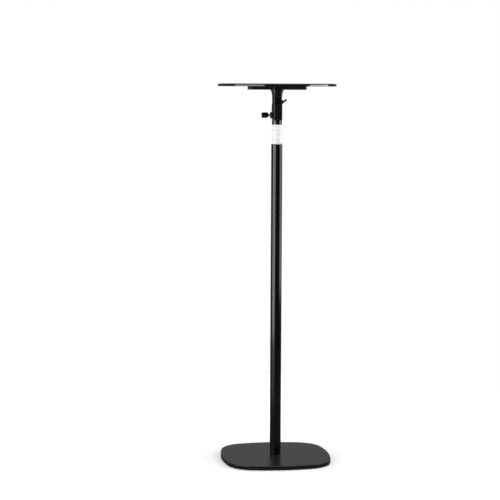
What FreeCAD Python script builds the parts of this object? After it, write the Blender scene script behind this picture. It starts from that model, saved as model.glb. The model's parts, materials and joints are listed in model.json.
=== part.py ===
import FreeCAD, Part
import math
import os

# Floor stand for a projector: a squircle steel plate carries a pole, a bright mast
# telescopes out of the pole, and a pan and tilt neck on the mast holds a round tray.
# Millimetres, +Z up, front towards -Y, origin on the floor under the pole's axis.

V = FreeCAD.Vector
AXIS_X = V(1, 0, 0)
AXIS_Y = V(0, 1, 0)
AXIS_Z = V(0, 0, 1)

# Clearances
running_gap = 0.3
seat_gap = 0.1

# Base plate and its pads
base_width = 364.4
base_side_radius = 488.0
base_corner_radius = 94.5
base_thickness = 13.0
base_edge_round = 3.0
base_lower_edge = 1.0
pad_diameter = 30.0
pad_height = 2.0
pad_edge = 0.6
pad_inset = 86.0

# Foot bolt, which holds the pole to the plate from below
foot_bolt_diameter = 12.0
foot_head_diameter = 20.0
foot_head_height = 5.0
foot_socket_width = 8.0
foot_socket_depth = 3.0
foot_washer_diameter = 30.0
foot_washer_thickness = 1.6
foot_recess_depth = 7.0
foot_recess_margin = 2.0

# Pole and the guide bushing in its mouth
pole_diameter = 37.0
pole_wall = 1.5
pole_length = 1042.5
pole_end_plate = 8.0
pole_mouth_round = 0.5
bushing_wall = 1.1
bushing_sleeve = 45.0
bushing_lip = 1.6
bushing_lip_edge = 0.5

# Mast and the cap with the spigot on its top
mast_wall = 1.5
mast_shown = 64.5
mast_inserted = 500.0
cap_ring_step = 1.25
cap_ring_height = 15.0
cap_ring_edge = 0.8
cap_plug_length = 25.0
spigot_diameter = 16.0
spigot_length = 30.0
spigot_edge = 1.0
spigot_groove_depth = 1.5
spigot_groove_width = 10.0

# Neck block with the tongue of the tilt joint
neck_width = 28.4
neck_depth = 62.0
neck_corner = 4.0
neck_edge_round = 1.5
neck_bore_spare = 2.0
neck_web = 3.4
knuckle_gap = 1.0
tongue_thickness = 12.0
tongue_side_gap = 0.5
horn_drop = 5.5

# Clamp screw that holds the neck on the spigot
clamp_rise = 16.1
clamp_bolt_diameter = 5.0
clamp_tip_gap = 0.5
clamp_nut_diameter = 20.0
clamp_nut_thickness = 9.0
clamp_nut_edge = 2.0
clamp_knob_gap = 4.7
clamp_knob_diameter = 18.5
clamp_knob_length = 23.0
clamp_knob_cone = 5.0
clamp_knob_nose = 9.0
clamp_knob_edge = 1.2
clamp_knob_flutes = 8
clamp_flute_diameter = 4.0
clamp_flute_depth = 1.1
clamp_bolt_grip = 14.0

# Yoke of the tilt joint
yoke_depth = 46.0
yoke_rise = 50.1
yoke_slot_rise = 12.0
yoke_flare_start = 13.0
yoke_top_width = 52.0
yoke_top_depth = 52.0
yoke_top_corner = 18.0
yoke_sections = 3
pivot_diameter = 8.0
pivot_head_diameter = 15.0
pivot_head_height = 3.5
pivot_head_sink = 0.3
pivot_socket_width = 5.0
pivot_socket_depth = 2.4

# Tilt lever on the end of the pivot
lever_hub_diameter = 12.0
lever_hub_length = 7.0
lever_hub_edge = 0.8
lever_bar_diameter = 5.0
lever_bar_straight = 1.0
lever_bend_radius = 12.0
lever_bar_offset = 4.6
lever_bar_end = 29.0
lever_lift_angle = 9.0
lever_grip_diameter = 6.6
lever_grip_length = 20.0
lever_grip_cover = 2.5

# Pressed saddle plate under the tray
saddle_length = 193.0
saddle_depth = 50.0
saddle_corner = 9.0
saddle_sheet = 2.5
saddle_height = 12.2
saddle_bend = 2.0
saddle_yoke_gap = 0.6
stud_end_inset = 23.0
stud_side_inset = 13.0

# Tray with its weld studs, spacers, nuts and mat
tray_diameter = 392.0
tray_sheet = 2.0
tray_rim_height = 8.2
tray_rim_round = 2.6
mat_inset = 7.0
mat_thickness = 1.0
mat_edge = 0.4
spacer_diameter = 16.0
spacer_height = 5.2
stud_diameter = 5.0
stud_spare = 1.0
nut_width = 8.0
nut_height = 4.7
nut_flange_diameter = 11.4
nut_flange_height = 1.2

# Levels and sizes that follow from the values above
base_top = pad_height + base_thickness
pole_top = base_top + pole_length
bushing_top = pole_top + bushing_lip
pole_radius = pole_diameter / 2
pole_bore_radius = pole_radius - pole_wall
mast_radius = pole_bore_radius - seat_gap - bushing_wall - running_gap
mast_bore_radius = mast_radius - mast_wall
cap_bottom = bushing_top + mast_shown
cap_top = cap_bottom + cap_ring_height
cap_radius = mast_radius + cap_ring_step
spigot_radius = spigot_diameter / 2
neck_bottom = cap_top + running_gap
clamp_level = neck_bottom + clamp_rise
neck_bore_depth = spigot_length - running_gap + neck_bore_spare
knuckle_radius = yoke_depth / 2
pocket_radius = knuckle_radius + knuckle_gap
pivot_level = neck_bottom + neck_bore_depth + neck_web + pocket_radius
half_neck = neck_width / 2
half_tongue = tongue_thickness / 2
cheek_inner = half_tongue + tongue_side_gap
yoke_top = pivot_level + yoke_rise
saddle_top = yoke_top + saddle_sheet
saddle_bottom = saddle_top - saddle_height
tray_underside = saddle_top + spacer_height
tray_top = tray_underside + tray_sheet
tray_radius = tray_diameter / 2
stud_places = [
    (name, sx * (saddle_length / 2 - stud_end_inset), sy * (saddle_depth / 2 - stud_side_inset))
    for name, sx, sy in (
        ("front_left", -1, -1),
        ("front_right", 1, -1),
        ("rear_left", -1, 1),
        ("rear_right", 1, 1),
    )
]


def cylinder(radius, length, base, axis=AXIS_Z):
    return Part.makeCylinder(radius, length, base, axis)


def cross_bar(radius, x_from, x_to, level):
    """A round bar along X at the given level, on the pole's centre plane."""
    return cylinder(radius, x_to - x_from, V(x_from, 0, level), AXIS_X)


def block(x_from, x_to, y_from, y_to, z_from, z_to):
    return Part.makeBox(x_to - x_from, y_to - y_from, z_to - z_from, V(x_from, y_from, z_from))


def revolved(outline):
    """Turns a closed (radius, height) outline of points and edges about the pole's axis."""
    face = Part.Face(Part.Wire(outline))
    return face.revolve(V(0, 0, 0), AXIS_Z, 360)


def polyline(points):
    """Straight edges through (radius, height) points in the XZ plane."""
    corners = [V(r, 0, z) for r, z in points]
    return [Part.LineSegment(a, b).toShape() for a, b in zip(corners, corners[1:])]


def turned(points):
    """A turned piece with a straight-sided (radius, height) outline, closed on itself."""
    return revolved(polyline(points + points[:1]))


def hexagon_prism(width, height, base, axis=AXIS_Z):
    """A hexagonal prism of the given width across its flats."""
    corner_radius = width / math.sqrt(3)
    corners = [
        V(corner_radius * math.cos(math.radians(60 * k)), corner_radius * math.sin(math.radians(60 * k)), 0)
        for k in range(7)
    ]
    prism = Part.Face(Part.makePolygon(corners)).extrude(AXIS_Z * height)
    prism.Placement = FreeCAD.Placement(base, FreeCAD.Rotation(AXIS_Z, axis))
    return prism


def edges_at(shape, test):
    return [edge for edge in shape.Edges if test(edge)]


def level_edges(shape, level):
    """The edges that lie wholly at one height."""
    return edges_at(
        shape,
        lambda e: abs(e.BoundBox.ZMin - level) < 1e-6 and abs(e.BoundBox.ZMax - level) < 1e-6,
    )


def squircle(half_width, side_radius, corner_radius, level):
    """A square outline with bowed sides and round corners, made of eight tangent arcs."""
    side_centre = side_radius - half_width
    reach = side_radius - corner_radius
    corner_centre = (math.sqrt(2 * reach**2 - side_centre**2) - side_centre) / 2
    along = side_radius * (corner_centre + side_centre) / reach - side_centre
    across = side_radius * corner_centre / reach
    corner_tip = corner_centre + corner_radius / math.sqrt(2)
    edges = []
    for quarter in range(4):
        turn = FreeCAD.Rotation(AXIS_Z, 90 * quarter)
        side = [V(along, -across, level), V(half_width, 0, level), V(along, across, level)]
        corner = [V(along, across, level), V(corner_tip, corner_tip, level), V(across, along, level)]
        for points in (side, corner):
            edges.append(Part.Arc(*[turn.multVec(p) for p in points]).toShape())
    return Part.Wire(edges)


def rounded_rectangle(length, depth, corner, level):
    """A level rectangle with round corners, centred on the pole's axis."""
    x = length / 2 - corner
    y = depth / 2 - corner
    centres = [V(x, y, level), V(-x, y, level), V(-x, -y, level), V(x, -y, level)]

    def on_corner(quarter, degrees):
        angle = math.radians(90 * quarter + degrees)
        return centres[quarter] + V(math.cos(angle), math.sin(angle), 0) * corner

    edges = []
    for quarter in range(4):
        edges.append(Part.Arc(*[on_corner(quarter, degrees) for degrees in (0, 45, 90)]).toShape())
        edges.append(Part.LineSegment(on_corner(quarter, 90), on_corner((quarter + 1) % 4, 0)).toShape())
    return Part.Wire(edges)


def rounded_prism(length, depth, corner, z_from, z_to):
    """An upright prism on a rectangle with round corners."""
    return Part.Face(rounded_rectangle(length, depth, corner, z_from)).extrude(AXIS_Z * (z_to - z_from))


def base_plate():
    outline = squircle(base_width / 2, base_side_radius, base_corner_radius, pad_height)
    plate = Part.Face(outline).extrude(AXIS_Z * base_thickness)
    plate = plate.makeFillet(base_edge_round, level_edges(plate, base_top))
    plate = plate.makeChamfer(base_lower_edge, level_edges(plate, pad_height))
    hole = cylinder(foot_bolt_diameter / 2 + running_gap, base_thickness, V(0, 0, pad_height))
    recess_radius = foot_washer_diameter / 2 + foot_recess_margin
    recess = cylinder(recess_radius, foot_recess_depth, V(0, 0, pad_height))
    return plate.cut(hole).cut(recess)


def floor_pad(x, y):
    pad = cylinder(pad_diameter / 2, pad_height, V(x, y, 0))
    return pad.makeChamfer(pad_edge, level_edges(pad, 0))


def foot_washer():
    seat = pad_height + foot_recess_depth
    bottom = seat - foot_washer_thickness
    washer = cylinder(foot_washer_diameter / 2, foot_washer_thickness, V(0, 0, bottom))
    return washer.cut(cylinder(foot_bolt_diameter / 2 + running_gap, foot_washer_thickness, V(0, 0, bottom)))


def foot_bolt():
    head_top = pad_height + foot_recess_depth - foot_washer_thickness
    head_bottom = head_top - foot_head_height
    tip = base_top + pole_end_plate
    bolt = cylinder(foot_head_diameter / 2, foot_head_height, V(0, 0, head_bottom))
    bolt = bolt.fuse(cylinder(foot_bolt_diameter / 2, tip - head_top, V(0, 0, head_top))).removeSplitter()
    return bolt.cut(hexagon_prism(foot_socket_width, foot_socket_depth, V(0, 0, head_bottom)))


def pole_tube():
    bolt_hole = foot_bolt_diameter / 2 + seat_gap
    tube = turned(
        [
            (bolt_hole, base_top),
            (pole_radius, base_top),
            (pole_radius, pole_top),
            (pole_bore_radius, pole_top),
            (pole_bore_radius, base_top + pole_end_plate),
            (bolt_hole, base_top + pole_end_plate),
        ]
    )
    mouth = edges_at(
        tube,
        lambda e: abs(e.BoundBox.ZMin - pole_top) < 1e-6
        and abs(e.BoundBox.ZMax - pole_top) < 1e-6
        and abs(e.BoundBox.XMax - pole_radius) < 1e-3,
    )
    return tube.makeFillet(pole_mouth_round, mouth)


def pole_bushing():
    bore = mast_radius + running_gap
    sleeve = pole_bore_radius - seat_gap
    bushing = turned(
        [
            (bore, pole_top - bushing_sleeve),
            (sleeve, pole_top - bushing_sleeve),
            (sleeve, pole_top),
            (pole_radius, pole_top),
            (pole_radius, bushing_top),
            (bore, bushing_top),
        ]
    )
    lip = edges_at(
        bushing,
        lambda e: abs(e.BoundBox.ZMin - bushing_top) < 1e-6 and abs(e.BoundBox.XMax - pole_radius) < 1e-3,
    )
    return bushing.makeChamfer(bushing_lip_edge, lip)


def mast_tube():
    bottom = bushing_top - mast_inserted
    return turned(
        [
            (mast_bore_radius, bottom),
            (mast_radius, bottom),
            (mast_radius, cap_bottom),
            (mast_bore_radius, cap_bottom),
        ]
    )


def mast_cap():
    """Ring on the mast's end, with a plug down into the tube and a grooved spigot above."""
    plug = mast_bore_radius - seat_gap
    groove = spigot_radius - spigot_groove_depth
    groove_bottom = clamp_level - spigot_groove_width / 2
    groove_top = clamp_level + spigot_groove_width / 2
    spigot_top = cap_top + spigot_length
    return turned(
        [
            (0, cap_bottom - cap_plug_length),
            (plug, cap_bottom - cap_plug_length),
            (plug, cap_bottom),
            (cap_radius - cap_ring_edge, cap_bottom),
            (cap_radius, cap_bottom + cap_ring_edge),
            (cap_radius, cap_top - cap_ring_edge),
            (cap_radius - cap_ring_edge, cap_top),
            (spigot_radius, cap_top),
            (spigot_radius, groove_bottom),
            (groove, groove_bottom + spigot_groove_depth),
            (groove, groove_top - spigot_groove_depth),
            (spigot_radius, groove_top),
            (spigot_radius, spigot_top - spigot_edge),
            (spigot_radius - spigot_edge, spigot_top),
            (0, spigot_top),
        ]
    )


def neck_block():
    """Cast block with the spigot's bore below and the tongue of the tilt joint above."""
    shoulder = pivot_level - horn_drop
    body = rounded_prism(neck_width, neck_depth, neck_corner, neck_bottom, shoulder)
    body = body.makeFillet(neck_edge_round, level_edges(body, neck_bottom) + level_edges(body, shoulder))
    for x_from, x_to in ((-neck_width, -half_tongue), (half_tongue, neck_width)):
        body = body.cut(cross_bar(pocket_radius, x_from, x_to, pivot_level))
    tongue_radius = knuckle_radius - 2 * knuckle_gap
    body = body.fuse(cross_bar(tongue_radius, -half_tongue, half_tongue, pivot_level)).removeSplitter()
    bore = cylinder(spigot_radius + running_gap, neck_bore_depth, V(0, 0, neck_bottom))
    pivot_hole = cross_bar(pivot_diameter / 2 + running_gap, -neck_width, neck_width, pivot_level)
    clamp_hole = cross_bar(clamp_bolt_diameter / 2 + seat_gap, -neck_width, 0, clamp_level)
    return body.cut(bore).cut(pivot_hole).cut(clamp_hole)


def clamp_nut():
    """Round lock nut on the neck's left face, which the clamp bolt screws through."""
    outer = -half_neck - clamp_nut_thickness
    nut = cross_bar(clamp_nut_diameter / 2, outer, -half_neck, clamp_level)
    rim = edges_at(nut, lambda e: abs(e.BoundBox.XMax - outer) < 1e-6)
    nut = nut.makeChamfer(clamp_nut_edge, rim)
    return nut.cut(cross_bar(clamp_bolt_diameter / 2 + seat_gap, outer, -half_neck, clamp_level))


def clamp_knob_start():
    """How far left of the pole's axis the clamp knob begins."""
    return half_neck + clamp_nut_thickness + clamp_knob_gap


def clamp_bolt():
    tip = spigot_radius - spigot_groove_depth + clamp_tip_gap
    end = clamp_knob_start() + clamp_bolt_grip
    return cross_bar(clamp_bolt_diameter / 2, -end, -tip, clamp_level)


def clamp_knob():
    """Fluted barrel with a tapered nose, turned about the clamp bolt."""
    radius = clamp_knob_diameter / 2
    start = clamp_knob_start()
    end = start + clamp_knob_length
    knob = turned(
        [
            (0, start),
            (clamp_knob_nose / 2, start),
            (radius, start + clamp_knob_cone),
            (radius, end - clamp_knob_edge),
            (radius - clamp_knob_edge, end),
            (0, end),
        ]
    )
    flute_radius = clamp_flute_diameter / 2
    flute_centre = radius + flute_radius - clamp_flute_depth
    for k in range(clamp_knob_flutes):
        angle = math.radians(360 * k / clamp_knob_flutes)
        place = V(flute_centre * math.cos(angle), flute_centre * math.sin(angle), start)
        knob = knob.cut(cylinder(flute_radius, clamp_knob_length, place))
    knob = knob.cut(cylinder(clamp_bolt_diameter / 2 + seat_gap, clamp_bolt_grip, V(0, 0, start)))
    knob.Placement = FreeCAD.Placement(V(0, 0, clamp_level), FreeCAD.Rotation(AXIS_Z, V(-1, 0, 0)))
    return knob


def yoke_flare():
    """The yoke's upper part, which widens from the cheeks' section to a rounder one at its top."""
    sections = []
    for k in range(yoke_sections):
        share = k / (yoke_sections - 1)
        sections.append(
            rounded_rectangle(
                neck_width + (yoke_top_width - neck_width) * share**2,
                yoke_depth + (yoke_top_depth - yoke_depth) * share**2,
                neck_corner + (yoke_top_corner - neck_corner) * share,
                pivot_level + yoke_flare_start + (yoke_rise - yoke_flare_start) * share,
            )
        )
    return Part.makeLoft(sections, True)


def yoke():
    """Forked head: two round cheeks beside the tongue, joined by a flared block."""
    flare_level = pivot_level + yoke_flare_start
    cheeks = block(-half_neck, half_neck, -knuckle_radius, knuckle_radius, pivot_level, flare_level)
    cheeks = cheeks.fuse(cross_bar(knuckle_radius, -half_neck, half_neck, pivot_level)).removeSplitter()

    def on_outer_rim(edge):
        box = edge.BoundBox
        return box.XLength < 1e-6 and abs(abs(box.XMin) - half_neck) < 1e-6 and box.ZMin < flare_level - 1e-3

    cheeks = cheeks.makeFillet(neck_corner, edges_at(cheeks, on_outer_rim))
    head = cheeks.fuse(yoke_flare())
    cavity = cross_bar(knuckle_radius - knuckle_gap, -cheek_inner, cheek_inner, pivot_level)
    slot = block(
        -cheek_inner,
        cheek_inner,
        -yoke_depth,
        yoke_depth,
        pivot_level - yoke_depth,
        pivot_level + yoke_slot_rise,
    )
    hole = cross_bar(pivot_diameter / 2 + seat_gap, -neck_width, neck_width, pivot_level)
    recess = cross_bar(
        pivot_head_diameter / 2 + running_gap,
        -neck_width,
        -half_neck + pivot_head_sink + pivot_head_height,
        pivot_level,
    )
    return head.cut(cavity).cut(slot).cut(hole).cut(recess)


def pivot_bolt():
    head_outer = -half_neck + pivot_head_sink
    head_inner = head_outer + pivot_head_height
    end = half_neck + running_gap + lever_hub_length
    bolt = cross_bar(pivot_head_diameter / 2, head_outer, head_inner, pivot_level)
    bolt = bolt.fuse(cross_bar(pivot_diameter / 2, head_inner, end, pivot_level)).removeSplitter()
    socket = hexagon_prism(pivot_socket_width, pivot_socket_depth, V(head_outer, 0, pivot_level), AXIS_X)
    return bolt.cut(socket)


def lever_path():
    """The lever's bar, level: forwards from the hub, with a double bend that sets it off outwards."""
    out = half_neck + running_gap + lever_hub_length / 2
    bend = math.acos(1 - lever_bar_offset / (2 * lever_bend_radius))
    start = V(out, 0, pivot_level)
    knee = V(out, -lever_bar_straight, pivot_level)
    first_centre = knee + V(lever_bend_radius, 0, 0)

    def on_bend(angle):
        return first_centre + V(-math.cos(angle), -math.sin(angle), 0) * lever_bend_radius

    middle = on_bend(bend)
    second_half = [middle + (middle - on_bend(angle)) for angle in (bend / 2, 0)]
    tip = second_half[1] - AXIS_Y * lever_bar_end
    edges = [
        Part.LineSegment(start, knee).toShape(),
        Part.Arc(knee, on_bend(bend / 2), middle).toShape(),
        Part.Arc(middle, *second_half).toShape(),
        Part.LineSegment(second_half[1], tip).toShape(),
    ]
    return edges, tip


def lift(shape):
    """Raises a lever piece from level to its locked position."""
    shape.rotate(V(0, 0, pivot_level), AXIS_X, -lever_lift_angle)
    return shape


def lever_arm():
    edges, tip = lever_path()
    start = edges[0].Vertexes[0].Point
    section = Part.Wire([Part.Circle(start, AXIS_Y, lever_bar_diameter / 2).toShape()])
    bar = Part.Wire(edges).makePipeShell([section], True, False)
    hub_inner = half_neck + running_gap
    hub_outer = hub_inner + lever_hub_length
    hub = cross_bar(lever_hub_diameter / 2, hub_inner, hub_outer, pivot_level)
    hub = hub.makeChamfer(lever_hub_edge, edges_at(hub, lambda e: abs(e.BoundBox.XMin - hub_outer) < 1e-6))
    arm = hub.fuse(bar).removeSplitter()
    return lift(arm.cut(cross_bar(pivot_diameter / 2 + seat_gap, hub_inner, hub_outer, pivot_level)))


def lever_grip():
    """Moulded sleeve with a domed end over the last stretch of the lever's bar."""
    radius = lever_grip_diameter / 2
    bore = lever_bar_diameter / 2 + seat_gap
    sleeve = lever_grip_length - radius
    dome = Part.Arc(
        V(radius, 0, sleeve),
        V(radius * math.cos(math.pi / 4), 0, sleeve + radius * math.sin(math.pi / 4)),
        V(0, 0, lever_grip_length),
    ).toShape()
    covered = lever_grip_length - radius - lever_grip_cover
    straights = [
        (0, lever_grip_length),
        (0, covered),
        (bore, covered),
        (bore, 0),
        (radius, 0),
        (radius, sleeve),
    ]
    grip = revolved(Part.__sortEdges__([dome] + polyline(straights)))
    edges, tip = lever_path()
    grip.Placement = FreeCAD.Placement(tip + AXIS_Y * covered, FreeCAD.Rotation(AXIS_Z, -AXIS_Y))
    return lift(grip)


def saddle_plate():
    """Pressed channel with its edges turned down, cut out front and back where the yoke's top passes."""
    pan = rounded_prism(saddle_length, saddle_depth, saddle_corner, saddle_bottom, saddle_top)
    pan = pan.makeFillet(saddle_bend, level_edges(pan, saddle_top))
    hollow = rounded_prism(
        saddle_length - 2 * saddle_sheet,
        saddle_depth - 2 * saddle_sheet,
        saddle_corner - saddle_sheet,
        saddle_bottom,
        saddle_top - saddle_sheet,
    )
    yoke_room = rounded_prism(
        yoke_top_width + 2 * saddle_yoke_gap,
        yoke_top_depth + 2 * saddle_yoke_gap,
        yoke_top_corner + saddle_yoke_gap,
        saddle_bottom,
        saddle_top - saddle_sheet,
    )
    pan = pan.cut(hollow).cut(yoke_room)
    for name, x, y in stud_places:
        hole = cylinder(stud_diameter / 2 + running_gap, saddle_sheet, V(x, y, saddle_top - saddle_sheet))
        pan = pan.cut(hole)
    return pan


def tray_pan():
    """Spun sheet disc with a turned-down rim, and weld studs under it for the saddle plate."""
    outer = tray_radius
    inner = outer - tray_sheet
    rim_bottom = tray_top - tray_rim_height
    lip = tray_sheet / 2
    shoulder = tray_rim_round
    inner_shoulder = shoulder - tray_sheet
    diagonal = math.sqrt(0.5)
    round_over = Part.Arc(
        V(outer - shoulder, 0, tray_top),
        V(outer - shoulder + shoulder * diagonal, 0, tray_top - shoulder + shoulder * diagonal),
        V(outer, 0, tray_top - shoulder),
    ).toShape()
    lip_round = Part.Arc(
        V(outer, 0, rim_bottom + lip), V(outer - lip, 0, rim_bottom), V(inner, 0, rim_bottom + lip)
    ).toShape()
    inner_round = Part.Arc(
        V(inner, 0, tray_top - shoulder),
        V(
            inner - inner_shoulder + inner_shoulder * diagonal,
            0,
            tray_top - shoulder + inner_shoulder * diagonal,
        ),
        V(inner - inner_shoulder, 0, tray_underside),
    ).toShape()
    straights = (
        polyline([(outer, tray_top - shoulder), (outer, rim_bottom + lip)])
        + polyline([(inner, rim_bottom + lip), (inner, tray_top - shoulder)])
        + polyline(
            [
                (inner - inner_shoulder, tray_underside),
                (0, tray_underside),
                (0, tray_top),
                (outer - shoulder, tray_top),
            ]
        )
    )
    pan = revolved(Part.__sortEdges__(straights + [round_over, lip_round, inner_round]))
    stud_length = spacer_height + saddle_sheet + nut_height + stud_spare
    for name, x, y in stud_places:
        pan = pan.fuse(cylinder(stud_diameter / 2, stud_length, V(x, y, tray_underside - stud_length)))
    return pan.removeSplitter()


def tray_mat():
    mat = cylinder(tray_radius - mat_inset, mat_thickness, V(0, 0, tray_top))
    return mat.makeChamfer(mat_edge, level_edges(mat, tray_top + mat_thickness))


def tray_spacer(x, y):
    spacer = cylinder(spacer_diameter / 2, spacer_height, V(x, y, saddle_top))
    return spacer.cut(cylinder(stud_diameter / 2 + running_gap, spacer_height, V(x, y, saddle_top)))


def tray_nut(x, y):
    """Flanged hexagon nut under the saddle plate."""
    seat = saddle_top - saddle_sheet
    flange = cylinder(nut_flange_diameter / 2, nut_flange_height, V(x, y, seat - nut_flange_height))
    nut = flange.fuse(hexagon_prism(nut_width, nut_height, V(x, y, seat - nut_height))).removeSplitter()
    return nut.cut(cylinder(stud_diameter / 2 + seat_gap, nut_height, V(x, y, seat - nut_height)))


def all_parts():
    parts = {
        "base_plate": base_plate(),
        "foot_washer": foot_washer(),
        "foot_bolt": foot_bolt(),
        "pole_tube": pole_tube(),
        "pole_bushing": pole_bushing(),
        "mast_tube": mast_tube(),
        "mast_cap": mast_cap(),
        "neck_block": neck_block(),
        "clamp_nut": clamp_nut(),
        "clamp_bolt": clamp_bolt(),
        "clamp_knob": clamp_knob(),
        "yoke": yoke(),
        "pivot_bolt": pivot_bolt(),
        "lever_arm": lever_arm(),
        "lever_grip": lever_grip(),
        "saddle_plate": saddle_plate(),
        "tray_pan": tray_pan(),
        "tray_mat": tray_mat(),
    }
    pad_place = base_width / 2 - pad_inset + pad_diameter / 2
    for name, sx, sy in (
        ("front_left", -1, -1),
        ("front_right", 1, -1),
        ("rear_left", -1, 1),
        ("rear_right", 1, 1),
    ):
        parts["floor_pad_" + name] = floor_pad(sx * pad_place, sy * pad_place)
    for name, x, y in stud_places:
        parts["tray_spacer_" + name] = tray_spacer(x, y)
        parts["tray_nut_" + name] = tray_nut(x, y)
    return parts


def main():
    os.makedirs("parts", exist_ok=True)
    for name, shape in all_parts().items():
        shape.exportStep("parts/" + name + ".step")
        print(name, len(shape.Solids), shape.isValid(), round(shape.Volume, 1))


main()
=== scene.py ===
import json
import math

import bmesh
import bpy
from mathutils import Euler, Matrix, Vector


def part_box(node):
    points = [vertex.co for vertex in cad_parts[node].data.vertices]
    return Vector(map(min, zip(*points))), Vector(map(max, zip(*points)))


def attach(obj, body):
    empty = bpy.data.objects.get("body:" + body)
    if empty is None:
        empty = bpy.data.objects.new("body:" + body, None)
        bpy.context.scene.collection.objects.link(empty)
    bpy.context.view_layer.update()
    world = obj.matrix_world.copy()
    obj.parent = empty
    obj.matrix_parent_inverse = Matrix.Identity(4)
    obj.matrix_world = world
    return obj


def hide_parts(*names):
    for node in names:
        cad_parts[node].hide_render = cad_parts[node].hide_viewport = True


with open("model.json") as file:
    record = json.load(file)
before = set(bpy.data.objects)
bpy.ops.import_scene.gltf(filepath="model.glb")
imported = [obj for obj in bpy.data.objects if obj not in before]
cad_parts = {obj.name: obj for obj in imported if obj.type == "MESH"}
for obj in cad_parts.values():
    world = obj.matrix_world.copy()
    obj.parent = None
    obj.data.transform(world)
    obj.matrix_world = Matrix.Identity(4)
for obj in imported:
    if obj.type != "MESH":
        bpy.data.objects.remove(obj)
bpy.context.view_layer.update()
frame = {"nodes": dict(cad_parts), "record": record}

# Floor stand with a tilting tray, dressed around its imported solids. Metres, +Z up, front towards -Y.

MM = 0.001
PHOTO_PIXELS = 500

# Camera, worked out from the base's outline and the tray seen edge on
CAMERA_FOCAL_PIXELS = 1624.5
CAMERA_SENSOR_MM = 36.0
CAMERA_PITCH_DEG = 5.803
CAMERA_TURN_DEG = 6.92
CAMERA_ROLL_DEG = 0.22
CAMERA_DISTANCE = 5.389
CAMERA_STAND_OFFSET = 0.0875
CAMERA_HEIGHT = 1.254

# Base plate: outline and edges
BASE_SIDE_RADIUS = 488.0 * MM
BASE_CORNER_RADIUS = 94.5 * MM
BASE_SIDE_STEPS = 24
BASE_CORNER_STEPS = 40
BASE_EDGE_ROUND = 3.0 * MM
BASE_LOWER_EDGE = 1.0 * MM
BASE_RECESS_RADIUS = 17.0 * MM
BASE_RECESS_DEPTH = 7.0 * MM
BASE_HOLE_RADIUS = 6.3 * MM

# Tray: turned-down rim and weld studs
TRAY_STEPS = 288
TRAY_SHEET = 2.0 * MM
TRAY_RIM_HEIGHT = 8.2 * MM
TRAY_RIM_ROUND = 2.6 * MM
TRAY_HUB_RADIUS = 20.0 * MM
STUD_RADIUS = 2.5 * MM
STUD_STEPS = 32
STUD_EDGE = 0.5 * MM

# Rounded edges of both: steps in a quarter turn, and the narrow strip that keeps the faces beside them flat
ROUND_STEPS = 6
HOLDING_STRIP = 0.4 * MM

# Clamp bolt's thread and lock nut's rim
THREAD_PITCH = 0.8 * MM
THREAD_RIDGE = 0.28 * MM
THREAD_END_GAP = 0.4 * MM
THREAD_TURN_STEPS = 28
THREAD_SECTION_SIDES = 6
KNURL_COUNT = 48
KNURL_RIDGE = 0.45 * MM
KNURL_RIDGE_SIDES = 3
KNURL_END_GAP = 1.2 * MM

# Smooth shading of the solids
WELD_DISTANCE = 0.002 * MM
SHARP_ANGLE_DEG = 32.0
BROAD_FACE_WEIGHT = 90

# Textures of the finishes
COAT_BUMP = 0.35
WIPE_FINENESS = 9.0
WIPE_SHARE = 0.35
MARK_SOFTNESS = 0.3
DUST_COLOUR = (0.30, 0.29, 0.27)
DUST_LEAST_UPWARD = 0.6
METAL_GRAIN = 0.5 * MM
METAL_GRAIN_DEPTH = 0.03 * MM
METAL_CRYSTAL = 6.0 * MM
METAL_BUMP = 0.2
METAL_DARK_SHARE = 0.75

# Floor: a paper that glows a little for the camera, from near the base outwards, and is dark in reflections
FLOOR_RADIUS = 1.6
FLOOR_SIDES = 96
PAPER_WHITE = (0.92, 0.92, 0.92)
PAPER_MIRRORED = (0.1, 0.1, 0.1)
GLOW_FROM, GLOW_TO = 0.19, 0.7
GLOW_NEAR, GLOW_FAR = 0.14, 0.46

# Room: fill on surfaces, and what the glossy coats mirror by direction (parts of a unit vector)
WORLD_FILL = 0.38
DARK_ROOM = 0.03
BACKDROP_FROM_Y, BACKDROP_TO_Y = -0.1, 0.7
BACKDROP_FROM_Z, BACKDROP_TO_Z = 0.02, 0.2
BACKDROP_LOW, BACKDROP_HIGH = 0.1, 0.255
CEILING_FROM_Z, CEILING_TO_Z = 0.35, 0.95
CEILING_TOP = 0.5

# Lamps, as seen from the stand: bearing from the camera in degrees (its right is positive), distance, width,
# height, height of the centre, radiance. Softboxes light the surfaces, and strips show only in reflections.
SOFTBOXES = {
    "left_softbox": (-56.0, 2.2, 2.4, 1.6, 0.95, 2.75),
    "right_softbox": (92.0, 2.2, 1.9, 1.1, 1.5, 4.5),
    "right_low_softbox": (92.0, 2.2, 1.9, 0.65, 0.6, 1.9),
    "front_softbox": (4.0, 4.0, 2.4, 2.0, 1.5, 1.7),
}
MIRRORED_STRIPS = {
    "left_pole_strip": (-56.0, 0.7, 0.76, 0.83, 0.725, 3.0),
    "left_foot_strip": (-56.0, 0.7, 0.76, 0.24, 0.19, 0.6),
    "right_pole_strip": (92.0, 0.7, 0.6, 0.58, 0.76, 2.1),
    "left_rim_strip": (-52.5, 1.0, 1.13, 0.36, 1.255, 3.2),
    "right_rim_strip": (83.0, 1.0, 0.88, 0.36, 1.255, 5.2),
}
OVERHEAD_SIZE = 2.0
OVERHEAD_HEIGHT = 3.2
OVERHEAD_RADIANCE = 1.8

# Sockets of Blender's Mix node, which go by number
MIX_SHARE = 0
MIX_VALUES = (2, 3)
MIX_COLOURS = (6, 7)
MIX_COLOUR_OUT = 2


# Node helpers


def place_node(tree, kind, inputs=None, **settings):
    """Adds a node. Each input is a plain value or another node's output socket, by name or number."""
    node = tree.nodes.new(kind)
    for name, value in settings.items():
        setattr(node, name, value)
    for name, value in (inputs or {}).items():
        if isinstance(value, bpy.types.NodeSocket):
            tree.links.new(value, node.inputs[name])
        else:
            node.inputs[name].default_value = value
    return node


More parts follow.
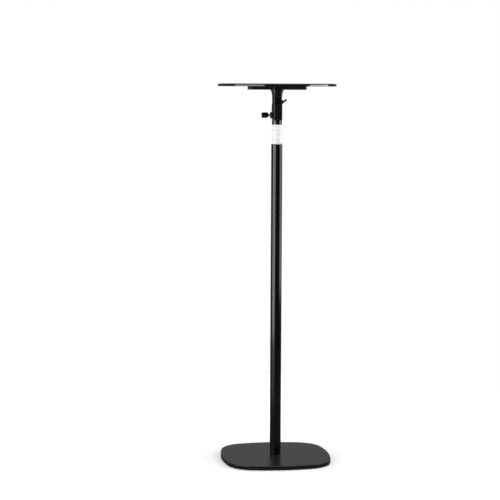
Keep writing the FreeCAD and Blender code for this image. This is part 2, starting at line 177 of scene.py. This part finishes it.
def new_tree(kind, name, inputs, outputs):
    """A node group with named sockets. Returns the tree, its input node and its output node."""
    tree = bpy.data.node_groups.new(name, kind)
    for label, socket_type, value in inputs:
        socket = tree.interface.new_socket(label, in_out="INPUT", socket_type=socket_type)
        if value is not None:
            socket.default_value = value
    for label, socket_type in outputs:
        tree.interface.new_socket(label, in_out="OUTPUT", socket_type=socket_type)
    return tree, tree.nodes.new("NodeGroupInput"), tree.nodes.new("NodeGroupOutput")


def math_node(tree, operation, first, second=0.0, third=0.0, clamp=False):
    inputs = {0: first, 1: second, 2: third}
    return place_node(tree, "ShaderNodeMath", inputs, operation=operation, use_clamp=clamp).outputs[0]


# Shader groups that several finishes share


def make_coat_grain():
    """Fine texture of a sprayed coat: small bumps, and a slow drift of tone over the surface."""
    tree, given, result = new_tree(
        "ShaderNodeTree",
        "coat_grain",
        [("Grain", "NodeSocketFloat", 0.6 * MM), ("Drift", "NodeSocketFloat", 80 * MM)],
        [("Height", "NodeSocketFloat"), ("Tone", "NodeSocketFloat")],
    )
    place = place_node(tree, "ShaderNodeTexCoord").outputs["Object"]
    scale = math_node(tree, "DIVIDE", 1.0, given.outputs["Grain"])
    grain = place_node(tree, "ShaderNodeTexNoise", {"Vector": place, "Scale": scale, "Detail": 2.0})
    slow = math_node(tree, "DIVIDE", 1.0, given.outputs["Drift"])
    drift = place_node(tree, "ShaderNodeTexNoise", {"Vector": place, "Scale": slow, "Detail": 3.0})
    tree.links.new(grain.outputs[0], result.inputs["Height"])
    tree.links.new(drift.outputs[0], result.inputs["Tone"])
    return tree


def make_handling_marks():
    """Faint smudges and fine wipe marks, as a mask from 0 to 1."""
    tree, given, result = new_tree(
        "ShaderNodeTree",
        "handling_marks",
        [("Size", "NodeSocketFloat", 30 * MM), ("Cover", "NodeSocketFloat", 0.45)],
        [("Mask", "NodeSocketFloat")],
    )
    place = place_node(tree, "ShaderNodeTexCoord").outputs["Object"]
    scale = math_node(tree, "DIVIDE", 1.0, given.outputs["Size"])
    smudge = place_node(tree, "ShaderNodeTexNoise", {"Vector": place, "Scale": scale, "Detail": 5.0})
    fine = math_node(tree, "MULTIPLY", scale, WIPE_FINENESS)
    wipe = place_node(tree, "ShaderNodeTexNoise", {"Vector": place, "Scale": fine, "Detail": 2.0})
    both = math_node(tree, "MULTIPLY_ADD", wipe.outputs[0], WIPE_SHARE, smudge.outputs[0])
    edge = math_node(tree, "ADD", given.outputs["Cover"], MARK_SOFTNESS)
    mask = place_node(
        tree,
        "ShaderNodeMapRange",
        {"Value": both, "From Min": given.outputs["Cover"], "From Max": edge},
    )
    tree.links.new(mask.outputs[0], result.inputs["Mask"])
    return tree


def make_settled_dust():
    """Thin dust on faces that look up, broken by noise, as a mask from 0 to 1."""
    tree, given, result = new_tree(
        "ShaderNodeTree",
        "settled_dust",
        [("Patch", "NodeSocketFloat", 20 * MM), ("Amount", "NodeSocketFloat", 0.3)],
        [("Mask", "NodeSocketFloat")],
    )
    place = place_node(tree, "ShaderNodeTexCoord").outputs["Object"]
    normal = place_node(tree, "ShaderNodeNewGeometry").outputs["Normal"]
    upward = place_node(tree, "ShaderNodeSeparateXYZ", {0: normal}).outputs["Z"]
    facing = place_node(
        tree, "ShaderNodeMapRange", {"Value": upward, "From Min": DUST_LEAST_UPWARD, "From Max": 1.0}
    )
    scale = math_node(tree, "DIVIDE", 1.0, given.outputs["Patch"])
    patch = place_node(tree, "ShaderNodeTexNoise", {"Vector": place, "Scale": scale, "Detail": 6.0})
    broken = math_node(tree, "MULTIPLY", facing.outputs[0], patch.outputs[0])
    mask = math_node(tree, "MULTIPLY", broken, given.outputs["Amount"], clamp=True)
    tree.links.new(mask, result.inputs["Mask"])
    return tree


COAT_GRAIN = make_coat_grain()
HANDLING_MARKS = make_handling_marks()
SETTLED_DUST = make_settled_dust()


# Finishes


def new_finish(name, roughness, **constants):
    """A material with one Principled shader. Returns the material, its tree and the shader."""
    material = bpy.data.materials.new(name)
    material.use_nodes = True
    tree = material.node_tree
    shader = tree.nodes["Principled BSDF"]
    shader.inputs["Roughness"].default_value = roughness
    for label, value in constants.items():
        shader.inputs[label.replace("_", " ")].default_value = value
    return material, tree, shader


def use_group(tree, group, **values):
    """Places a shader group with its own values."""
    node = place_node(tree, "ShaderNodeGroup", node_tree=group)
    for label, value in values.items():
        node.inputs[label].default_value = value
    return node


def bump(tree, shader, height, strength, depth):
    node = place_node(tree, "ShaderNodeBump", {"Height": height, "Strength": strength, "Distance": depth})
    tree.links.new(node.outputs[0], shader.inputs["Normal"])


def spread(tree, value, low, high):
    """Maps a 0 to 1 mask onto a range."""
    return place_node(tree, "ShaderNodeMapRange", {"Value": value, "To Min": low, "To Max": high}).outputs[0]


def opaque(colour):
    return (*colour, 1.0)


def blend_colour(tree, share, first, second):
    """Mixes two colours, each of them plain or another node's output, by a share from 0 to 1."""
    inputs = {MIX_SHARE: share, MIX_COLOURS[0]: first, MIX_COLOURS[1]: second}
    return place_node(tree, "ShaderNodeMix", inputs, data_type="RGBA").outputs[MIX_COLOUR_OUT]


def blend_value(tree, share, first, second):
    """Mixes two numbers, each of them plain or another node's output, by a share from 0 to 1."""
    inputs = {MIX_SHARE: share, MIX_VALUES[0]: first, MIX_VALUES[1]: second}
    return place_node(tree, "ShaderNodeMix", inputs).outputs[0]


def sprayed_finish(name, dark, light, roughness, grain, grain_depth, dust=0.0, **constants):
    """Paint or powder coat: grain in the bump, tone that drifts, smudged roughness, a little dust on top."""
    material, tree, shader = new_finish(name, roughness[0], **constants)
    coat = use_group(tree, COAT_GRAIN, Grain=grain)
    marks = use_group(tree, HANDLING_MARKS)
    colour = blend_colour(tree, coat.outputs["Tone"], opaque(dark), opaque(light))
    if dust:
        film = use_group(tree, SETTLED_DUST, Amount=dust)
        colour = blend_colour(tree, film.outputs["Mask"], colour, opaque(DUST_COLOUR))
    tree.links.new(colour, shader.inputs["Base Color"])
    tree.links.new(spread(tree, marks.outputs["Mask"], *roughness), shader.inputs["Roughness"])
    bump(tree, shader, coat.outputs["Height"], COAT_BUMP, grain_depth)
    return material


def plain_metal(name, colour, roughness):
    """Zinc plate: crystalline tone and a fine tumbled texture."""
    material, tree, shader = new_finish(name, roughness[0], Metallic=1.0)
    coat = use_group(tree, COAT_GRAIN, Grain=METAL_GRAIN, Drift=METAL_CRYSTAL)
    darker = [METAL_DARK_SHARE * c for c in colour]
    tone = blend_colour(tree, coat.outputs["Tone"], opaque(darker), opaque(colour))
    tree.links.new(tone, shader.inputs["Base Color"])
    tree.links.new(spread(tree, coat.outputs["Tone"], *roughness), shader.inputs["Roughness"])
    bump(tree, shader, coat.outputs["Height"], METAL_BUMP, METAL_GRAIN_DEPTH)
    return material


# Linear colours where the tone drifts dark and light, the range of roughness, and the grain's width and depth
COATS = {
    "base_coat": dict(
        dark=(0.0058, 0.0064, 0.0052),
        light=(0.0082, 0.0090, 0.0074),
        roughness=(0.27, 0.31),
        grain=0.7 * MM,
        grain_depth=0.008 * MM,
        dust=0.015,
        Specular_IOR_Level=0.35,
    ),
    "pole_coat": dict(
        dark=(0.0016, 0.0016, 0.0018),
        light=(0.0026, 0.0026, 0.0028),
        roughness=(0.18, 0.21),
        grain=0.7 * MM,
        grain_depth=0.003 * MM,
        Specular_IOR_Level=0.65,
    ),
    "bushing_plastic": dict(
        dark=(0.005, 0.005, 0.005),
        light=(0.008, 0.008, 0.008),
        roughness=(0.5, 0.6),
        grain=0.3 * MM,
        grain_depth=0.02 * MM,
    ),
    "mast_white": dict(
        dark=(0.84, 0.845, 0.845),
        light=(0.88, 0.885, 0.885),
        roughness=(0.3, 0.38),
        grain=0.9 * MM,
        grain_depth=0.01 * MM,
        Specular_IOR_Level=0.2,
    ),
    "collar_enamel": dict(
        dark=(0.003, 0.003, 0.003),
        light=(0.0045, 0.0045, 0.0045),
        roughness=(0.14, 0.2),
        grain=1.2 * MM,
        grain_depth=0.01 * MM,
    ),
    "neck_casting": dict(
        dark=(0.0022, 0.0022, 0.0024),
        light=(0.0036, 0.0036, 0.0038),
        roughness=(0.32, 0.4),
        grain=0.9 * MM,
        grain_depth=0.04 * MM,
        Specular_IOR_Level=0.35,
    ),
    "knob_plastic": dict(
        dark=(0.002, 0.002, 0.002),
        light=(0.0034, 0.0034, 0.0034),
        roughness=(0.4, 0.5),
        grain=0.35 * MM,
        grain_depth=0.03 * MM,
        Specular_IOR_Level=0.35,
    ),
    "saddle_coat": dict(
        dark=(0.004, 0.004, 0.0042),
        light=(0.007, 0.007, 0.0073),
        roughness=(0.36, 0.44),
        grain=0.7 * MM,
        grain_depth=0.04 * MM,
    ),
    "tray_underside": dict(
        dark=(0.004, 0.004, 0.0042),
        light=(0.007, 0.007, 0.0073),
        roughness=(0.55, 0.65),
        grain=0.7 * MM,
        grain_depth=0.008 * MM,
        Specular_IOR_Level=0.25,
    ),
    "tray_enamel": dict(
        dark=(0.003, 0.003, 0.003),
        light=(0.0045, 0.0045, 0.0045),
        roughness=(0.07, 0.12),
        grain=1.5 * MM,
        grain_depth=0.004 * MM,
        Specular_IOR_Level=0.8,
    ),
    "mat_rubber": dict(
        dark=(0.005, 0.005, 0.0047),
        light=(0.008, 0.008, 0.0075),
        roughness=(0.7, 0.8),
        grain=0.5 * MM,
        grain_depth=0.15 * MM,
        dust=0.012,
        Specular_IOR_Level=0.25,
    ),
    "pad_rubber": dict(
        dark=(0.007, 0.007, 0.007),
        light=(0.011, 0.011, 0.011),
        roughness=(0.7, 0.8),
        grain=0.4 * MM,
        grain_depth=0.06 * MM,
    ),
    "spacer_nylon": dict(
        dark=(0.015, 0.015, 0.015),
        light=(0.022, 0.022, 0.022),
        roughness=(0.5, 0.6),
        grain=0.4 * MM,
        grain_depth=0.03 * MM,
    ),
}
FINISHES = {name: sprayed_finish(name, **values) for name, values in COATS.items()}
FINISHES["zinc_steel"] = plain_metal("zinc_steel", colour=(0.55, 0.55, 0.54), roughness=(0.28, 0.42))


# Smooth shading for the solids


def make_smooth_tree():
    """Welds a solid's triangles and shades it smooth, with edges sharper than the limit left crisp."""
    tree, given, result = new_tree(
        "GeometryNodeTree",
        "smooth_solid",
        [("Geometry", "NodeSocketGeometry", None), ("Sharp angle", "NodeSocketFloat", 0.5)],
        [("Geometry", "NodeSocketGeometry")],
    )
    welded = place_node(
        tree,
        "GeometryNodeMergeByDistance",
        {"Geometry": given.outputs["Geometry"], "Distance": WELD_DISTANCE},
    )
    faces = place_node(tree, "GeometryNodeSetShadeSmooth", {"Geometry": welded.outputs[0]}, domain="FACE")
    angle = place_node(tree, "GeometryNodeInputMeshEdgeAngle").outputs["Unsigned Angle"]
    soft = place_node(
        tree, "FunctionNodeCompare", {0: angle, 1: given.outputs["Sharp angle"]}, operation="LESS_EQUAL"
    )
    edges = place_node(
        tree,
        "GeometryNodeSetShadeSmooth",
        {"Geometry": faces.outputs[0], "Shade Smooth": soft.outputs[0]},
        domain="EDGE",
    )
    tree.links.new(edges.outputs[0], result.inputs["Geometry"])
    return tree


def dress_solids():
    """Gives each solid its slot's finish and smooth shading, in which broad faces stay flat."""
    smooth = make_smooth_tree()
    angle_socket = next(s.identifier for s in smooth.interface.items_tree if s.name == "Sharp angle")
    for row in frame["record"]["subparts"]:
        solid = frame["nodes"][row["node"]]
        solid.data.materials.clear()
        solid.data.materials.append(FINISHES[row["material_slot"]])
        modifier = solid.modifiers.new("smooth_solid", "NODES")
        modifier.node_group = smooth
        modifier[angle_socket] = math.radians(SHARP_ANGLE_DEG)
        level = solid.modifiers.new("flat_faces", "WEIGHTED_NORMAL")
        level.mode = "FACE_AREA"
        level.weight = BROAD_FACE_WEIGHT
        level.keep_sharp = True


dress_solids()


# Base plate and tray, with finely stepped round edges


def circle_ring(radius, level, steps, centre=(0.0, 0.0)):
    angles = [2 * math.pi * k / steps for k in range(steps)]
    return [(centre[0] + radius * math.cos(a), centre[1] + radius * math.sin(a), level) for a in angles]


def base_ring(half_width, inset, level):
    """The base's outline of bowed sides and round corners, moved inwards by an inset."""
    side_centre = BASE_SIDE_RADIUS - half_width
    reach = BASE_SIDE_RADIUS - BASE_CORNER_RADIUS
    corner_centre = (math.sqrt(2 * reach**2 - side_centre**2) - side_centre) / 2
    half_side = math.atan2(corner_centre, corner_centre + side_centre)
    quarter = []
    for k in range(BASE_SIDE_STEPS):
        angle = half_side * (2 * k / BASE_SIDE_STEPS - 1)
        radius = BASE_SIDE_RADIUS - inset
        quarter.append((radius * math.cos(angle) - side_centre, radius * math.sin(angle)))
    for k in range(BASE_CORNER_STEPS):
        angle = half_side + (math.pi / 2 - 2 * half_side) * k / BASE_CORNER_STEPS
        radius = BASE_CORNER_RADIUS - inset
        quarter.append((corner_centre + radius * math.cos(angle), corner_centre + radius * math.sin(angle)))
    ring = []
    for cos, sin in ((1, 0), (0, 1), (-1, 0), (0, -1)):
        ring += [(cos * x - sin * y, sin * x + cos * y, level) for x, y in quarter]
    return ring


def round_ring(like, radius, level):
    """A circle whose points lie in the same directions as another ring's."""
    return [(radius * x / math.hypot(x, y), radius * y / math.hypot(x, y), level) for x, y, z in like]


def quarter_round(size):
    """Steps of a rounded edge, from the face on top to the side: (inwards, down) from the sharp corner."""
    angles = [math.pi / 2 * k / ROUND_STEPS for k in range(ROUND_STEPS + 1)]
    return [(size * (1 - math.sin(a)), size * (1 - math.cos(a))) for a in angles]


def add_shell(work, rings, closed):
    """Joins rings with four-sided faces. An open row of rings gets a flat face at each end."""
    rows = [[work.verts.new(point) for point in ring] for ring in rings]
    count = len(rows[0])
    pairs = list(zip(rows, rows[1:] + rows[:1])) if closed else list(zip(rows, rows[1:]))
    for upper, lower in pairs:
        for k in range(count):
            n = (k + 1) % count
            work.faces.new((upper[k], lower[k], lower[n], upper[n]))
    if not closed:
        work.faces.new(rows[0])
        work.faces.new(rows[-1])


def finish_shell(work, name, node, body, slot, other_finishes=()):
    """Makes a piece of the shells, shades it and puts it in the place of its solid."""
    bmesh.ops.recalc_face_normals(work, faces=work.faces)
    mesh = bpy.data.meshes.new(name)
    work.to_mesh(mesh)
    work.free()
    mesh.shade_smooth()
    mesh.set_sharp_from_angle(angle=math.radians(SHARP_ANGLE_DEG))
    for finish in (slot, *other_finishes):
        mesh.materials.append(FINISHES[finish])
    piece = bpy.data.objects.new(name, mesh)
    bpy.context.collection.objects.link(piece)
    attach(piece, body)
    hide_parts(node)


def add_base_slab():
    """The base plate: from the pole bolt's hole over the top, the rounded edge and the side to the recess."""
    low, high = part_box("base_plate")
    half_width, bottom, top = high[0], low[2], high[2]
    side_top = top - BASE_EDGE_ROUND
    side_bottom = bottom + BASE_LOWER_EDGE
    outline = base_ring(half_width, 0, top)
    recess_top = bottom + BASE_RECESS_DEPTH
    rings = [
        round_ring(outline, BASE_HOLE_RADIUS, top),
        base_ring(half_width, BASE_EDGE_ROUND + HOLDING_STRIP, top),
    ]
    rings += [base_ring(half_width, inwards, top - down) for inwards, down in quarter_round(BASE_EDGE_ROUND)]
    rings += [
        base_ring(half_width, 0, side_top - HOLDING_STRIP),
        base_ring(half_width, 0, side_bottom),
        base_ring(half_width, BASE_LOWER_EDGE, bottom),
        round_ring(outline, BASE_RECESS_RADIUS, bottom),
        round_ring(outline, BASE_RECESS_RADIUS, recess_top),
        round_ring(outline, BASE_HOLE_RADIUS, recess_top),
    ]
    work = bmesh.new()
    add_shell(work, rings, closed=True)
    finish_shell(work, "base_slab", "base_plate", "base", "base_coat")


def tray_outline(radius, top):
    """(radius, height) steps of the tray, from its top over the turned-down rim to its underside."""
    underside = top - TRAY_SHEET
    inner = radius - TRAY_SHEET
    lip = TRAY_SHEET / 2
    lip_level = top - TRAY_RIM_HEIGHT + lip
    inner_round = TRAY_RIM_ROUND - TRAY_SHEET
    steps = [(TRAY_HUB_RADIUS, top), (radius - TRAY_RIM_ROUND - HOLDING_STRIP, top)]
    steps += [(radius - inwards, top - down) for inwards, down in quarter_round(TRAY_RIM_ROUND)]
    steps += [(radius, top - TRAY_RIM_ROUND - HOLDING_STRIP), (radius, lip_level + HOLDING_STRIP)]
    for k in range(2 * ROUND_STEPS + 1):
        angle = math.pi * k / (2 * ROUND_STEPS)
        steps.append((radius - lip + lip * math.cos(angle), lip_level - lip * math.sin(angle)))
    steps += [(inner, lip_level + HOLDING_STRIP), (inner, top - TRAY_RIM_ROUND - HOLDING_STRIP)]
    for inwards, down in reversed(quarter_round(inner_round)):
        steps.append((inner - inwards, underside - down))
    steps += [(inner - inner_round - HOLDING_STRIP, underside), (TRAY_HUB_RADIUS, underside)]
    return steps


def add_tray_shell():
    """The tray and its four weld studs. Its underside and the studs have a finish of their own."""
    low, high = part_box("tray_pan")
    radius, stud_bottom, top = high[0], low[2], high[2]
    work = bmesh.new()
    add_shell(work, [circle_ring(r, z, TRAY_STEPS) for r, z in tray_outline(radius, top)], closed=False)
    for corner in ("front_left", "front_right", "rear_left", "rear_right"):
        nut_low, nut_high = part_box("tray_nut_" + corner)
        centre = [(nut_low[k] + nut_high[k]) / 2 for k in range(2)]
        stud = [
            (STUD_RADIUS, top - TRAY_SHEET / 2),
            (STUD_RADIUS, stud_bottom + STUD_EDGE),
            (STUD_RADIUS - STUD_EDGE, stud_bottom),
        ]
        add_shell(work, [circle_ring(r, z, STUD_STEPS, centre) for r, z in stud], closed=False)
    middle_level = top - TRAY_SHEET / 2
    underside_radius = radius - TRAY_RIM_ROUND
    for face in work.faces:
        below = all(v.co.z < middle_level + HOLDING_STRIP for v in face.verts)
        within = all(math.hypot(v.co.x, v.co.y) < underside_radius + HOLDING_STRIP / 2 for v in face.verts)
        face.material_index = 1 if below and within else 0
    finish_shell(work, "tray_shell", "tray_pan", "tray", "tray_enamel", other_finishes=["tray_underside"])


add_base_slab()
add_tray_shell()


# Wound and repeated details


def make_thread_tree():
    """A screw thread: a small ridge wound along a bolt that lies along X."""
    tree, given, result = new_tree(
        "GeometryNodeTree",
        "bolt_thread",
        [
            ("Start", "NodeSocketVector", None),
            ("Length", "NodeSocketFloat", 4.0 * MM),
            ("Radius", "NodeSocketFloat", 2.5 * MM),
            ("Pitch", "NodeSocketFloat", THREAD_PITCH),
            ("Ridge", "NodeSocketFloat", THREAD_RIDGE),
            ("Finish", "NodeSocketMaterial", None),
        ],
        [("Geometry", "NodeSocketGeometry")],
    )
    turns = math_node(tree, "DIVIDE", given.outputs["Length"], given.outputs["Pitch"])
    coil = place_node(
        tree,
        "GeometryNodeCurveSpiral",
        {
            "Resolution": THREAD_TURN_STEPS,
            "Rotations": turns,
            "Start Radius": given.outputs["Radius"],
            "End Radius": given.outputs["Radius"],
            "Height": given.outputs["Length"],
        },
    )
    section = place_node(
        tree,
        "GeometryNodeCurvePrimitiveCircle",
        {"Resolution": THREAD_SECTION_SIDES, "Radius": given.outputs["Ridge"]},
    )
    ridge = place_node(
        tree,
        "GeometryNodeCurveToMesh",
        {"Curve": coil.outputs[0], "Profile Curve": section.outputs[0], "Fill Caps": True},
    )
    finish_along_x(tree, ridge.outputs[0], given, result)
    return tree


def make_knurl_tree():
    """Straight knurling: ridges round the rim of a nut whose axis lies along X."""
    tree, given, result = new_tree(
        "GeometryNodeTree",
        "nut_knurl",
        [
            ("Start", "NodeSocketVector", None),
            ("Length", "NodeSocketFloat", 7.0 * MM),
            ("Radius", "NodeSocketFloat", 10.0 * MM),
            ("Count", "NodeSocketInt", KNURL_COUNT),
            ("Ridge", "NodeSocketFloat", KNURL_RIDGE),
            ("Finish", "NodeSocketMaterial", None),
        ],
        [("Geometry", "NodeSocketGeometry")],
    )
    ring = place_node(
        tree,
        "GeometryNodeMeshCircle",
        {"Vertices": given.outputs["Count"], "Radius": given.outputs["Radius"]},
    )
    ridge = place_node(
        tree,
        "GeometryNodeMeshCylinder",
        {
            "Vertices": KNURL_RIDGE_SIDES,
            "Radius": given.outputs["Ridge"],
            "Depth": given.outputs["Length"],
        },
    )
    outward = place_node(tree, "GeometryNodeInputPosition").outputs[0]
    turned = place_node(
        tree, "FunctionNodeAlignRotationToVector", {"Vector": outward}, axis="X", pivot_axis="Z"
    )
    ridges = place_node(
        tree,
        "GeometryNodeInstanceOnPoints",
        {"Points": ring.outputs[0], "Instance": ridge.outputs[0], "Rotation": turned.outputs[0]},
    )
    finish_along_x(tree, ridges.outputs[0], given, result)
    return tree


def finish_along_x(tree, geometry, given, result):
    """Lays what was made along Z onto X at its start point, then ends the tree."""
    laid = place_node(
        tree,
        "GeometryNodeTransform",
        {"Geometry": geometry, "Translation": given.outputs["Start"], "Rotation": Euler((0, math.pi / 2, 0))},
    )
    real = place_node(tree, "GeometryNodeRealizeInstances", {"Geometry": laid.outputs[0]})
    painted = place_node(
        tree, "GeometryNodeSetMaterial", {"Geometry": real.outputs[0], "Material": given.outputs["Finish"]}
    )
    tree.links.new(painted.outputs[0], result.inputs["Geometry"])


def bake_piece(name, tree, body, slot, **sizes):
    """Runs a tree with these sizes, keeps the result as a plain mesh, and lets it ride on a body."""
    piece = bpy.data.objects.new(name, bpy.data.meshes.new(name + "_start"))
    bpy.context.collection.objects.link(piece)
    modifier = piece.modifiers.new(name, "NODES")
    modifier.node_group = tree
    for socket in tree.interface.items_tree:
        if socket.in_out == "INPUT":
            modifier[socket.identifier] = FINISHES[slot] if socket.name == "Finish" else sizes[socket.name]
    graph = bpy.context.evaluated_depsgraph_get()
    mesh = bpy.data.meshes.new_from_object(piece.evaluated_get(graph), depsgraph=graph)
    mesh.name = name
    piece.modifiers.remove(modifier)
    piece.data = mesh
    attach(piece, body)


def add_clamp_details():
    """The thread that shows on the clamp bolt, and the knurled rim of its lock nut."""
    nut_low, nut_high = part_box("clamp_nut")
    knob_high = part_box("clamp_knob")[1]
    bolt_low, bolt_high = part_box("clamp_bolt")
    middle = [(low + high) / 2 for low, high in zip(nut_low, nut_high)]
    thread_from = knob_high[0] + THREAD_END_GAP
    bake_piece(
        "clamp_bolt_thread",
        make_thread_tree(),
        "clamp_screw",
        "zinc_steel",
        Start=(thread_from, middle[1], middle[2]),
        Length=nut_low[0] - THREAD_END_GAP - thread_from,
        Radius=(bolt_high[2] - bolt_low[2]) / 2,
        Pitch=THREAD_PITCH,
        Ridge=THREAD_RIDGE,
    )
    bake_piece(
        "clamp_nut_knurl",
        make_knurl_tree(),
        "neck",
        "zinc_steel",
        Start=middle,
        Length=nut_high[0] - nut_low[0] - 2 * KNURL_END_GAP,
        Radius=(nut_high[2] - nut_low[2]) / 2,
        Count=KNURL_COUNT,
        Ridge=KNURL_RIDGE,
    )


add_clamp_details()


# Stage, light and camera


def straight_rays(tree, path):
    """1 for the rays that see the white background as it is: from the camera, and through glass."""
    return math_node(tree, "MAXIMUM", path.outputs["Is Camera Ray"], path.outputs["Is Transmission Ray"])


def make_floor():
    """A round sheet of white paper. To the camera it fades to plain white away from the base."""
    mesh = bpy.data.meshes.new("floor")
    steps = [2 * math.pi * i / FLOOR_SIDES for i in range(FLOOR_SIDES)]
    rim = [(FLOOR_RADIUS * math.cos(a), FLOOR_RADIUS * math.sin(a), 0) for a in steps]
    mesh.from_pydata(rim, [], [tuple(range(FLOOR_SIDES))])
    floor = bpy.data.objects.new("floor", mesh)
    bpy.context.collection.objects.link(floor)
    material = bpy.data.materials.new("floor_paper")
    material.use_nodes = True
    tree = material.node_tree
    tree.nodes.clear()
    place = place_node(tree, "ShaderNodeTexCoord").outputs["Object"]
    away = place_node(tree, "ShaderNodeVectorMath", {0: place}, operation="LENGTH").outputs["Value"]
    lift = place_node(
        tree,
        "ShaderNodeMapRange",
        {
            "Value": away,
            "From Min": GLOW_FROM,
            "From Max": GLOW_TO,
            "To Min": GLOW_NEAR,
            "To Max": GLOW_FAR,
        },
    ).outputs[0]
    path = place_node(tree, "ShaderNodeLightPath")
    glossy = path.outputs["Is Glossy Ray"]
    paper = blend_colour(tree, glossy, opaque(PAPER_WHITE), opaque(PAPER_MIRRORED))
    diffuse = place_node(tree, "ShaderNodeBsdfDiffuse", {"Color": paper})
    glow = place_node(tree, "ShaderNodeEmission", {"Color": (1, 1, 1, 1), "Strength": lift})
    both = place_node(tree, "ShaderNodeAddShader", {0: diffuse.outputs[0], 1: glow.outputs[0]})
    seen = place_node(
        tree,
        "ShaderNodeMixShader",
        {0: straight_rays(tree, path), 1: diffuse.outputs[0], 2: both.outputs[0]},
    )
    output = place_node(tree, "ShaderNodeOutputMaterial")
    tree.links.new(seen.outputs[0], output.inputs["Surface"])
    mesh.materials.append(material)


def make_world():
    """White to the camera. Glossy coats mirror a dim backdrop and ceiling, and a dark room in front."""
    world = bpy.data.worlds.new("studio")
    bpy.context.scene.world = world
    world.use_nodes = True
    tree = world.node_tree
    tree.nodes.clear()
    path = place_node(tree, "ShaderNodeLightPath")
    direction = place_node(tree, "ShaderNodeTexCoord").outputs["Generated"]
    axes = place_node(tree, "ShaderNodeSeparateXYZ", {0: direction})
    behind = place_node(
        tree,
        "ShaderNodeMapRange",
        {"Value": axes.outputs["Y"], "From Min": BACKDROP_FROM_Y, "From Max": BACKDROP_TO_Y},
    ).outputs[0]
    rising = place_node(
        tree,
        "ShaderNodeMapRange",
        {
            "Value": axes.outputs["Z"],
            "From Min": BACKDROP_FROM_Z,
            "From Max": BACKDROP_TO_Z,
            "To Min": BACKDROP_LOW,
            "To Max": BACKDROP_HIGH,
        },
    ).outputs[0]
    backdrop = math_node(tree, "MULTIPLY_ADD", behind, rising, DARK_ROOM)
    ceiling = place_node(
        tree,
        "ShaderNodeMapRange",
        {
            "Value": axes.outputs["Z"],
            "From Min": CEILING_FROM_Z,
            "From Max": CEILING_TO_Z,
            "To Min": 0.0,
            "To Max": CEILING_TOP,
        },
    ).outputs[0]
    reflected = math_node(tree, "ADD", backdrop, ceiling)
    bounced = blend_value(tree, path.outputs["Is Glossy Ray"], WORLD_FILL, reflected)
    strength = blend_value(tree, straight_rays(tree, path), bounced, 1.0)
    background = place_node(
        tree, "ShaderNodeBackground", {"Color": (1, 1, 1, 1), "Strength": strength}
    )
    output = place_node(tree, "ShaderNodeOutputWorld")
    tree.links.new(background.outputs[0], output.inputs["Surface"])


def camera_axes():
    """The camera's level heading and its right-hand side, in the stand's frame."""
    turn = math.radians(CAMERA_TURN_DEG)
    heading = Vector((math.sin(turn), math.cos(turn), 0.0))
    right = Vector((math.cos(turn), -math.sin(turn), 0.0))
    return heading, right


def add_softbox(name, bearing_deg, distance, width, height, centre_height, radiance, mirrored=False):
    """A lamp panel that faces the stand. It lights the surfaces, or it only shows in glossy coats."""
    heading, right = camera_axes()
    bearing = math.radians(bearing_deg)
    outward = right * math.sin(bearing) - heading * math.cos(bearing)
    lamp = bpy.data.lights.new(name, "AREA")
    lamp.shape = "RECTANGLE"
    lamp.size = width
    lamp.size_y = height
    lamp.energy = radiance * math.pi * width * height
    panel = bpy.data.objects.new(name, lamp)
    panel.location = outward * distance + Vector((0, 0, centre_height))
    panel.rotation_euler = (-outward).to_track_quat("-Z", "Y").to_euler()
    panel.visible_camera = False
    panel.visible_glossy = mirrored
    panel.visible_diffuse = not mirrored
    bpy.context.collection.objects.link(panel)


def add_overhead():
    """A square lamp panel above the stand, which faces down."""
    lamp = bpy.data.lights.new("overhead_softbox", "AREA")
    lamp.shape = "SQUARE"
    lamp.size = OVERHEAD_SIZE
    lamp.energy = OVERHEAD_RADIANCE * math.pi * OVERHEAD_SIZE**2
    panel = bpy.data.objects.new("overhead_softbox", lamp)
    panel.location = (0, 0, OVERHEAD_HEIGHT)
    panel.visible_camera = False
    bpy.context.collection.objects.link(panel)


def make_camera():
    """The photograph's camera: level with the tray, in front of the stand and a little to one side."""
    heading, right = camera_axes()
    camera = bpy.data.objects.new("camera", bpy.data.cameras.new("camera"))
    bpy.context.collection.objects.link(camera)
    camera.data.sensor_width = CAMERA_SENSOR_MM
    camera.data.lens = CAMERA_FOCAL_PIXELS * CAMERA_SENSOR_MM / PHOTO_PIXELS
    place = -heading * CAMERA_DISTANCE - right * CAMERA_STAND_OFFSET
    camera.location = place + Vector((0, 0, CAMERA_HEIGHT))
    tilt = Euler((math.radians(90 - CAMERA_PITCH_DEG), 0, -math.radians(CAMERA_TURN_DEG)))
    roll = Euler((0, 0, math.radians(CAMERA_ROLL_DEG)))
    camera.rotation_euler = (tilt.to_matrix() @ roll.to_matrix()).to_euler()
    bpy.context.scene.camera = camera


make_floor()
make_world()
for lamp_name, place_and_size in SOFTBOXES.items():
    add_softbox(lamp_name, *place_and_size)
for lamp_name, place_and_size in MIRRORED_STRIPS.items():
    add_softbox(lamp_name, *place_and_size, mirrored=True)
add_overhead()
make_camera()
bpy.context.scene.view_settings.view_transform = "Standard"
